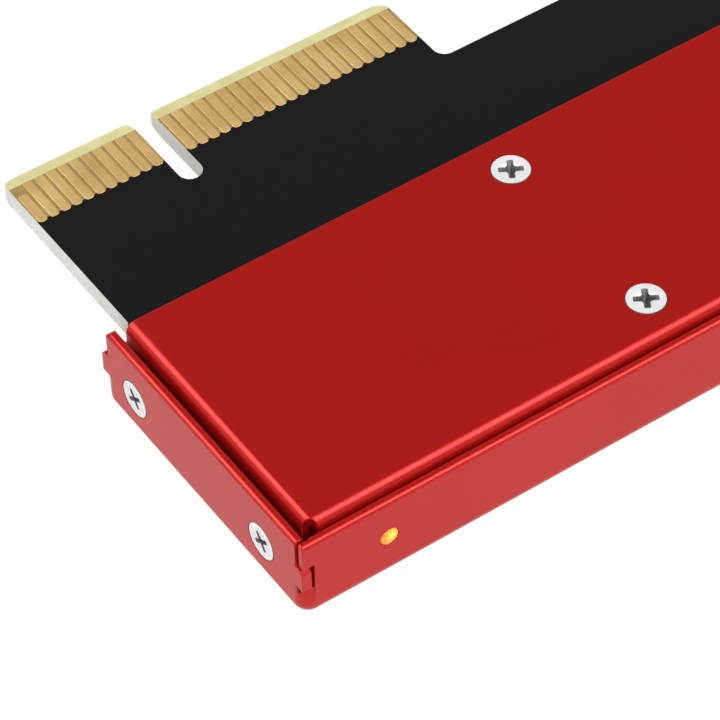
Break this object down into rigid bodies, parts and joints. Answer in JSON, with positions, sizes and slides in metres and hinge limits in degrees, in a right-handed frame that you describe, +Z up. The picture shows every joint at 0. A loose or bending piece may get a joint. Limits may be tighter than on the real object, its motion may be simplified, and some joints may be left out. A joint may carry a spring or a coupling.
{
  "type": "nvme adapter card",
  "caption": "Slot card in a folded red metal case: a circuit board with a gold edge connector on top of an inner drive socket, closed by a flush-screwed cover.",
  "frame": {"origin": "centre of the tray's underside, on which the card rests", "axes": "+X along the card, +Y towards the gold edge connector, +Z up"},
  "size_m": [0.1306, 0.0429, 0.0081],
  "materials": {
    "tray_red": "satin",
    "cover_red": "satin",
    "board_mask": "satin",
    "gold": "polished",
    "screw_white": "satin",
    "brass": "machined",
    "steel": "plated",
    "clear_pipe": "clear, lit",
    "led_body": "moulded",
    "tin": "tinned",
    "socket_black": "moulded",
    "pad_grey": "soft",
    "film_black": "film",
    "ceramic_tan": "fired",
    "ceramic_black": "fired",
    "package_black": "moulded",
    "ferrite_grey": "moulded"
  },
  "bodies": {
    "root": {"lower_tray": "tray_red", "top_cover": "cover_red", "circuit_board": "board_mask", "edge_contacts_upper": "gold", "edge_contacts_lower": "gold", "cover_screws": "screw_white", "end_screws": "screw_white", "board_standoffs": "brass", "light_pipe": "clear_pipe", "indicator_body": "led_body", "indicator_terminals": "tin", "socket_housing": "socket_black", "socket_contacts_upper": "gold", "socket_contacts_lower": "gold", "socket_tails": "tin", "socket_anchors": "tin", "drive_nut": "brass", "drive_screw": "steel", "heat_pad": "pad_grey", "floor_film": "film_black", "cover_film": "film_black", "lane_capacitors": "ceramic_tan", "lane_capacitor_ends": "tin", "small_capacitors": "ceramic_tan", "small_capacitor_ends": "tin", "resistors": "ceramic_black", "resistor_ends": "tin", "bulk_capacitors": "ceramic_tan", "bulk_capacitor_ends": "tin", "regulator_body": "package_black", "regulator_leads": "tin", "memory_body": "package_black", "memory_leads": "tin", "buffer_body": "package_black", "buffer_pads": "tin", "inductor_body": "ferrite_grey", "inductor_ends": "tin"}
  },
  "joints": []
}
